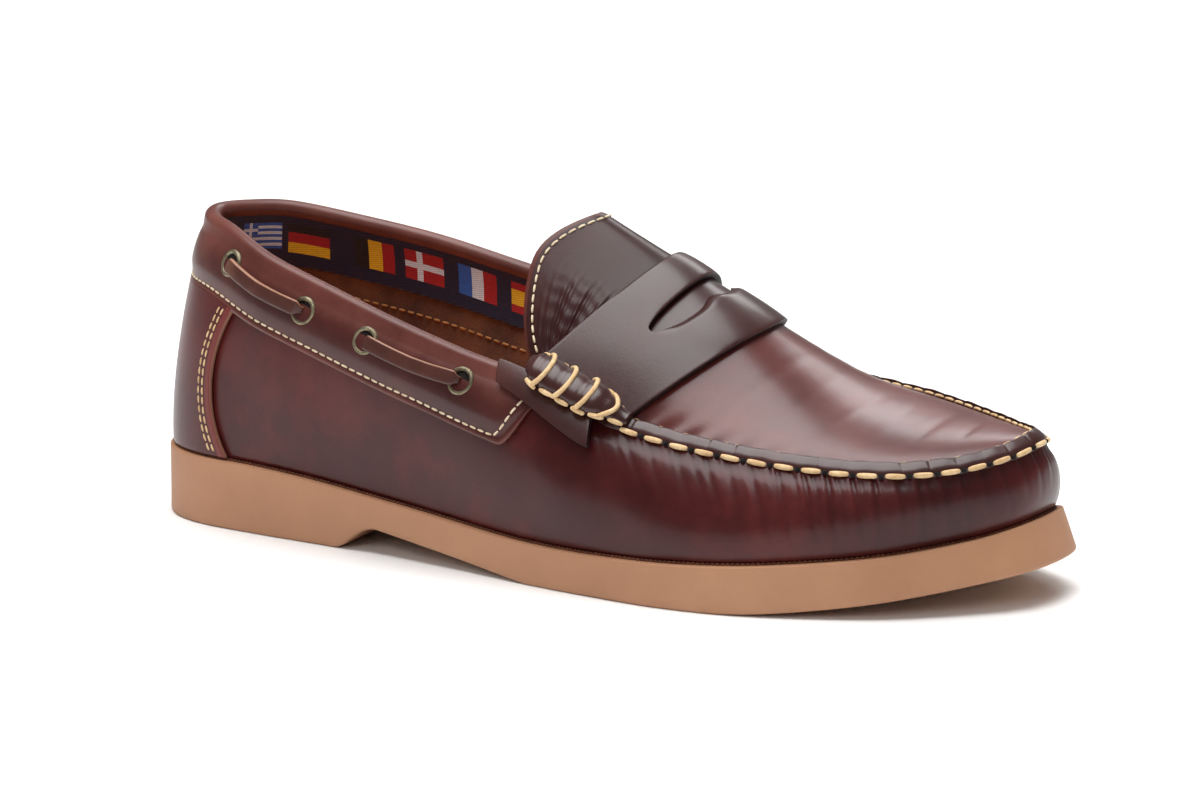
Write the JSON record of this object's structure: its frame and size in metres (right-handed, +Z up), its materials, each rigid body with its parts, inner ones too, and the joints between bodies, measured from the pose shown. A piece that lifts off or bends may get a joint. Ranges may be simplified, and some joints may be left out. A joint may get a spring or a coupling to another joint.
{
  "type": "boat shoe",
  "caption": "Slip-on leather boat shoe, right foot: hand-sewn moccasin toe, penny-slotted saddle strap, thong-laced collar and a flat rubber sole.",
  "frame": {"origin": "on the floor, under the middle of the shoe's bounding box", "axes": "-Y towards the toe, -X towards the outer side of the right foot, +Z up"},
  "size_m": [0.115, 0.2954, 0.1018],
  "materials": {
    "upper_leather": "dark burgundy-brown pull-up leather, soft gloss",
    "strap_leather": "darker brown leather, soft gloss",
    "collar_leather": "reddish brown soft leather",
    "insole_leather": "orange lining leather",
    "rubber_sole": "caramel rubber, matt",
    "thong_leather": "oiled thong with paler edges",
    "aged_brass": "aged metal"
  },
  "bodies": {
    "root": {"outsole": "rubber_sole", "insole": "insole_leather", "upper": "upper_leather", "tongue": "strap_leather", "saddle_strap": "strap_leather", "collar_band": "collar_leather", "heel_counter": "upper_leather", "side_roll_lateral": "strap_leather", "eyelet_lateral_1": "aged_brass", "eyelet_lateral_2": "aged_brass", "eyelet_lateral_3": "aged_brass", "eyelet_lateral_4": "aged_brass", "thong_lateral_rear": "thong_leather", "thong_lateral_front": "thong_leather", "side_roll_medial": "strap_leather", "eyelet_medial_1": "aged_brass", "eyelet_medial_2": "aged_brass", "eyelet_medial_3": "aged_brass", "eyelet_medial_4": "aged_brass", "thong_medial_rear": "thong_leather", "thong_medial_front": "thong_leather"}
  },
  "joints": []
}
